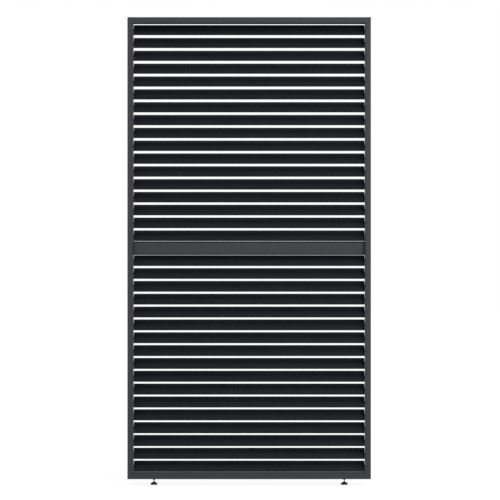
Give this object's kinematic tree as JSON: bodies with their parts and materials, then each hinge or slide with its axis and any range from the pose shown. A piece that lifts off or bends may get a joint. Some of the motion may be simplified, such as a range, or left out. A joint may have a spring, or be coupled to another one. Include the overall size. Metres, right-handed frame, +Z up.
{
  "type": "rotating slat room divider",
  "caption": "Tall freestanding room divider: a slim aluminium frame with a middle rail and two banks of linked horizontal slats that tilt from open to shut, on levelling feet.",
  "frame": {"origin": "on the floor, midway between the two stiles and between the front and back faces", "axes": "+X to the right seen from the front, +Y from front to back, +Z up"},
  "size_m": [1.2, 0.08, 2.307],
  "materials": {
    "frame_aluminium": "anthracite powder coat, fine matte texture",
    "slat_aluminium": "near-black powder coat, satin",
    "black_plastic": "moulded, matte",
    "bush_plastic": "acetal, smooth",
    "zinc_steel": "zinc plated",
    "black_steel": "blackened",
    "bare_aluminium": "mill finish",
    "foot_plastic": "moulded glass-filled nylon, matte",
    "sole_rubber": "soft rubber"
  },
  "bodies": {
    "frame": {"left_stile": "frame_aluminium", "right_stile": "frame_aluminium", "left_stile_cover": "frame_aluminium", "right_stile_cover": "frame_aluminium", "stile_end_caps": "black_plastic", "top_rail": "frame_aluminium", "bottom_rail": "frame_aluminium", "middle_rail": "frame_aluminium", "middle_rail_end_plates": "black_plastic", "rail_screws": "zinc_steel", "middle_rail_screws": "zinc_steel", "left_pivot_bushes": "bush_plastic", "right_pivot_bushes": "bush_plastic", "link_stops": "black_plastic", "link_stop_screws": "zinc_steel", "foot_inserts": "zinc_steel", "foot_locknuts": "black_steel"},
    "slat_upper_01": {"slat_upper_01": "slat_aluminium"},
    "slat_upper_02": {"slat_upper_02": "slat_aluminium"},
    "slat_upper_03": {"slat_upper_03": "slat_aluminium"},
    "slat_upper_04": {"slat_upper_04": "slat_aluminium"},
    "slat_upper_05": {"slat_upper_05": "slat_aluminium"},
    "slat_upper_06": {"slat_upper_06": "slat_aluminium"},
    "slat_upper_07": {"slat_upper_07": "slat_aluminium"},
    "slat_upper_08": {"slat_upper_08": "slat_aluminium"},
    "slat_upper_09": {"slat_upper_09": "slat_aluminium"},
    "slat_upper_10": {"slat_upper_10": "slat_aluminium"},
    "slat_upper_11": {"slat_upper_11": "slat_aluminium"},
    "slat_upper_12": {"slat_upper_12": "slat_aluminium"},
    "slat_upper_13": {"slat_upper_13": "slat_aluminium"},
    "slat_upper_14": {"slat_upper_14": "slat_aluminium"},
    "slat_upper_15": {"slat_upper_15": "slat_aluminium"},
    "slat_upper_16": {"slat_upper_16": "slat_aluminium"},
    "slat_upper_17": {"slat_upper_17": "slat_aluminium"},
    "upper_link": {"upper_link_bar": "bare_aluminium"},
    "slat_lower_01": {"slat_lower_01": "slat_aluminium"},
    "slat_lower_02": {"slat_lower_02": "slat_aluminium"},
    "slat_lower_03": {"slat_lower_03": "slat_aluminium"},
    "slat_lower_04": {"slat_lower_04": "slat_aluminium"},
    "slat_lower_05": {"slat_lower_05": "slat_aluminium"},
    "slat_lower_06": {"slat_lower_06": "slat_aluminium"},
    "slat_lower_07": {"slat_lower_07": "slat_aluminium"},
    "slat_lower_08": {"slat_lower_08": "slat_aluminium"},
    "slat_lower_09": {"slat_lower_09": "slat_aluminium"},
    "slat_lower_10": {"slat_lower_10": "slat_aluminium"},
    "slat_lower_11": {"slat_lower_11": "slat_aluminium"},
    "slat_lower_12": {"slat_lower_12": "slat_aluminium"},
    "slat_lower_13": {"slat_lower_13": "slat_aluminium"},
    "slat_lower_14": {"slat_lower_14": "slat_aluminium"},
    "slat_lower_15": {"slat_lower_15": "slat_aluminium"},
    "slat_lower_16": {"slat_lower_16": "slat_aluminium"},
    "slat_lower_17": {"slat_lower_17": "slat_aluminium"},
    "lower_link": {"lower_link_bar": "bare_aluminium"},
    "left_foot_stud": {"left_foot_stud": "zinc_steel"},
    "left_foot_pad": {"left_foot_pad": "foot_plastic", "left_foot_sole": "sole_rubber"},
    "right_foot_stud": {"right_foot_stud": "zinc_steel"},
    "right_foot_pad": {"right_foot_pad": "foot_plastic", "right_foot_sole": "sole_rubber"}
  },
  "joints": [
    {"name": "upper_slats_tilt", "type": "hinge", "parent": "frame", "child": "slat_upper_01", "pos_m": [0, 0, 2.246], "axis": [1, 0, 0], "range_deg": [-52, 34]},
    {"name": "slat_upper_02_tilt", "type": "hinge", "parent": "frame", "child": "slat_upper_02", "pos_m": [0, 0, 2.1825], "axis": [1, 0, 0], "range_deg": [-52, 34]},
    {"name": "slat_upper_03_tilt", "type": "hinge", "parent": "frame", "child": "slat_upper_03", "pos_m": [0, 0, 2.119], "axis": [1, 0, 0], "range_deg": [-52, 34]},
    {"name": "slat_upper_04_tilt", "type": "hinge", "parent": "frame", "child": "slat_upper_04", "pos_m": [0, 0, 2.0555], "axis": [1, 0, 0], "range_deg": [-52, 34]},
    {"name": "slat_upper_05_tilt", "type": "hinge", "parent": "frame", "child": "slat_upper_05", "pos_m": [0, 0, 1.992], "axis": [1, 0, 0], "range_deg": [-52, 34]},
    {"name": "slat_upper_06_tilt", "type": "hinge", "parent": "frame", "child": "slat_upper_06", "pos_m": [0, 0, 1.9285], "axis": [1, 0, 0], "range_deg": [-52, 34]},
    {"name": "slat_upper_07_tilt", "type": "hinge", "parent": "frame", "child": "slat_upper_07", "pos_m": [0, 0, 1.865], "axis": [1, 0, 0], "range_deg": [-52, 34]},
    {"name": "slat_upper_08_tilt", "type": "hinge", "parent": "frame", "child": "slat_upper_08", "pos_m": [0, 0, 1.8015], "axis": [1, 0, 0], "range_deg": [-52, 34]},
    {"name": "slat_upper_09_tilt", "type": "hinge", "parent": "frame", "child": "slat_upper_09", "pos_m": [0, 0, 1.738], "axis": [1, 0, 0], "range_deg": [-52, 34]},
    {"name": "slat_upper_10_tilt", "type": "hinge", "parent": "frame", "child": "slat_upper_10", "pos_m": [0, 0, 1.6745], "axis": [1, 0, 0], "range_deg": [-52, 34]},
    {"name": "slat_upper_11_tilt", "type": "hinge", "parent": "frame", "child": "slat_upper_11", "pos_m": [0, 0, 1.611], "axis": [1, 0, 0], "range_deg": [-52, 34]},
    {"name": "slat_upper_12_tilt", "type": "hinge", "parent": "frame", "child": "slat_upper_12", "pos_m": [0, 0, 1.5475], "axis": [1, 0, 0], "range_deg": [-52, 34]},
    {"name": "slat_upper_13_tilt", "type": "hinge", "parent": "frame", "child": "slat_upper_13", "pos_m": [0, 0, 1.484], "axis": [1, 0, 0], "range_deg": [-52, 34]},
    {"name": "slat_upper_14_tilt", "type": "hinge", "parent": "frame", "child": "slat_upper_14", "pos_m": [0, 0, 1.4205], "axis": [1, 0, 0], "range_deg": [-52, 34]},
    {"name": "slat_upper_15_tilt", "type": "hinge", "parent": "frame", "child": "slat_upper_15", "pos_m": [0, 0, 1.357], "axis": [1, 0, 0], "range_deg": [-52, 34]},
    {"name": "slat_upper_16_tilt", "type": "hinge", "parent": "frame", "child": "slat_upper_16", "pos_m": [0, 0, 1.2935], "axis": [1, 0, 0], "range_deg": [-52, 34]},
    {"name": "slat_upper_17_tilt", "type": "hinge", "parent": "frame", "child": "slat_upper_17", "pos_m": [0, 0, 1.23], "axis": [1, 0, 0], "range_deg": [-52, 34]},
    {"name": "upper_link_pivot", "type": "hinge", "parent": "slat_upper_01", "child": "upper_link", "pos_m": [-0.5823, 0.00924, 2.25782], "axis": [1, 0, 0], "range_deg": [-34, 52]},
    {"name": "lower_slats_tilt", "type": "hinge", "parent": "frame", "child": "slat_lower_01", "pos_m": [0, 0, 1.107], "axis": [1, 0, 0], "range_deg": [-52, 34]},
    {"name": "slat_lower_02_tilt", "type": "hinge", "parent": "frame", "child": "slat_lower_02", "pos_m": [0, 0, 1.0435], "axis": [1, 0, 0], "range_deg": [-52, 34]},
    {"name": "slat_lower_03_tilt", "type": "hinge", "parent": "frame", "child": "slat_lower_03", "pos_m": [0, 0, 0.98], "axis": [1, 0, 0], "range_deg": [-52, 34]},
    {"name": "slat_lower_04_tilt", "type": "hinge", "parent": "frame", "child": "slat_lower_04", "pos_m": [0, 0, 0.9165], "axis": [1, 0, 0], "range_deg": [-52, 34]},
    {"name": "slat_lower_05_tilt", "type": "hinge", "parent": "frame", "child": "slat_lower_05", "pos_m": [0, 0, 0.853], "axis": [1, 0, 0], "range_deg": [-52, 34]},
    {"name": "slat_lower_06_tilt", "type": "hinge", "parent": "frame", "child": "slat_lower_06", "pos_m": [0, 0, 0.7895], "axis": [1, 0, 0], "range_deg": [-52, 34]},
    {"name": "slat_lower_07_tilt", "type": "hinge", "parent": "frame", "child": "slat_lower_07", "pos_m": [0, 0, 0.726], "axis": [1, 0, 0], "range_deg": [-52, 34]},
    {"name": "slat_lower_08_tilt", "type": "hinge", "parent": "frame", "child": "slat_lower_08", "pos_m": [0, 0, 0.6625], "axis": [1, 0, 0], "range_deg": [-52, 34]},
    {"name": "slat_lower_09_tilt", "type": "hinge", "parent": "frame", "child": "slat_lower_09", "pos_m": [0, 0, 0.599], "axis": [1, 0, 0], "range_deg": [-52, 34]},
    {"name": "slat_lower_10_tilt", "type": "hinge", "parent": "frame", "child": "slat_lower_10", "pos_m": [0, 0, 0.5355], "axis": [1, 0, 0], "range_deg": [-52, 34]},
    {"name": "slat_lower_11_tilt", "type": "hinge", "parent": "frame", "child": "slat_lower_11", "pos_m": [0, 0, 0.472], "axis": [1, 0, 0], "range_deg": [-52, 34]},
    {"name": "slat_lower_12_tilt", "type": "hinge", "parent": "frame", "child": "slat_lower_12", "pos_m": [0, 0, 0.4085], "axis": [1, 0, 0], "range_deg": [-52, 34]},
    {"name": "slat_lower_13_tilt", "type": "hinge", "parent": "frame", "child": "slat_lower_13", "pos_m": [0, 0, 0.345], "axis": [1, 0, 0], "range_deg": [-52, 34]},
    {"name": "slat_lower_14_tilt", "type": "hinge", "parent": "frame", "child": "slat_lower_14", "pos_m": [0, 0, 0.2815], "axis": [1, 0, 0], "range_deg": [-52, 34]},
    {"name": "slat_lower_15_tilt", "type": "hinge", "parent": "frame", "child": "slat_lower_15", "pos_m": [0, 0, 0.218], "axis": [1, 0, 0], "range_deg": [-52, 34]},
    {"name": "slat_lower_16_tilt", "type": "hinge", "parent": "frame", "child": "slat_lower_16", "pos_m": [0, 0, 0.1545], "axis": [1, 0, 0], "range_deg": [-52, 34]},
    {"name": "slat_lower_17_tilt", "type": "hinge", "parent": "frame", "child": "slat_lower_17", "pos_m": [0, 0, 0.091], "axis": [1, 0, 0], "range_deg": [-52, 34]},
    {"name": "lower_link_pivot", "type": "hinge", "parent": "slat_lower_01", "child": "lower_link", "pos_m": [-0.5823, 0.00924, 1.11882], "axis": [1, 0, 0], "range_deg": [-34, 52]},
    {"name": "left_foot_height", "type": "slide", "parent": "frame", "child": "left_foot_stud", "axis": [0, 0, -1], "range_m": [0, 0.012]},
    {"name": "left_foot_swivel", "type": "hinge", "parent": "left_foot_stud", "child": "left_foot_pad", "pos_m": [-0.47, 0, 0], "axis": [0, 0, 1], "continuous": true},
    {"name": "right_foot_height", "type": "slide", "parent": "frame", "child": "right_foot_stud", "axis": [0, 0, -1], "range_m": [0, 0.012]},
    {"name": "right_foot_swivel", "type": "hinge", "parent": "right_foot_stud", "child": "right_foot_pad", "pos_m": [0.47, 0, 0], "axis": [0, 0, 1], "continuous": true}
  ],
  "couplings": [
    {"joint": "slat_upper_02_tilt", "follows": "upper_slats_tilt", "ratio": 1},
    {"joint": "slat_upper_03_tilt", "follows": "upper_slats_tilt", "ratio": 1},
    {"joint": "slat_upper_04_tilt", "follows": "upper_slats_tilt", "ratio": 1},
    {"joint": "slat_upper_05_tilt", "follows": "upper_slats_tilt", "ratio": 1},
    {"joint": "slat_upper_06_tilt", "follows": "upper_slats_tilt", "ratio": 1},
    {"joint": "slat_upper_07_tilt", "follows": "upper_slats_tilt", "ratio": 1},
    {"joint": "slat_upper_08_tilt", "follows": "upper_slats_tilt", "ratio": 1},
    {"joint": "slat_upper_09_tilt", "follows": "upper_slats_tilt", "ratio": 1},
    {"joint": "slat_upper_10_tilt", "follows": "upper_slats_tilt", "ratio": 1},
    {"joint": "slat_upper_11_tilt", "follows": "upper_slats_tilt", "ratio": 1},
    {"joint": "slat_upper_12_tilt", "follows": "upper_slats_tilt", "ratio": 1},
    {"joint": "slat_upper_13_tilt", "follows": "upper_slats_tilt", "ratio": 1},
    {"joint": "slat_upper_14_tilt", "follows": "upper_slats_tilt", "ratio": 1},
    {"joint": "slat_upper_15_tilt", "follows": "upper_slats_tilt", "ratio": 1},
    {"joint": "slat_upper_16_tilt", "follows": "upper_slats_tilt", "ratio": 1},
    {"joint": "slat_upper_17_tilt", "follows": "upper_slats_tilt", "ratio": 1},
    {"joint": "upper_link_pivot", "follows": "upper_slats_tilt", "ratio": -1},
    {"joint": "slat_lower_02_tilt", "follows": "lower_slats_tilt", "ratio": 1},
    {"joint": "slat_lower_03_tilt", "follows": "lower_slats_tilt", "ratio": 1},
    {"joint": "slat_lower_04_tilt", "follows": "lower_slats_tilt", "ratio": 1},
    {"joint": "slat_lower_05_tilt", "follows": "lower_slats_tilt", "ratio": 1},
    {"joint": "slat_lower_06_tilt", "follows": "lower_slats_tilt", "ratio": 1},
    {"joint": "slat_lower_07_tilt", "follows": "lower_slats_tilt", "ratio": 1},
    {"joint": "slat_lower_08_tilt", "follows": "lower_slats_tilt", "ratio": 1},
    {"joint": "slat_lower_09_tilt", "follows": "lower_slats_tilt", "ratio": 1},
    {"joint": "slat_lower_10_tilt", "follows": "lower_slats_tilt", "ratio": 1},
    {"joint": "slat_lower_11_tilt", "follows": "lower_slats_tilt", "ratio": 1},
    {"joint": "slat_lower_12_tilt", "follows": "lower_slats_tilt", "ratio": 1},
    {"joint": "slat_lower_13_tilt", "follows": "lower_slats_tilt", "ratio": 1},
    {"joint": "slat_lower_14_tilt", "follows": "lower_slats_tilt", "ratio": 1},
    {"joint": "slat_lower_15_tilt", "follows": "lower_slats_tilt", "ratio": 1},
    {"joint": "slat_lower_16_tilt", "follows": "lower_slats_tilt", "ratio": 1},
    {"joint": "slat_lower_17_tilt", "follows": "lower_slats_tilt", "ratio": 1},
    {"joint": "lower_link_pivot", "follows": "lower_slats_tilt", "ratio": -1}
  ]
}
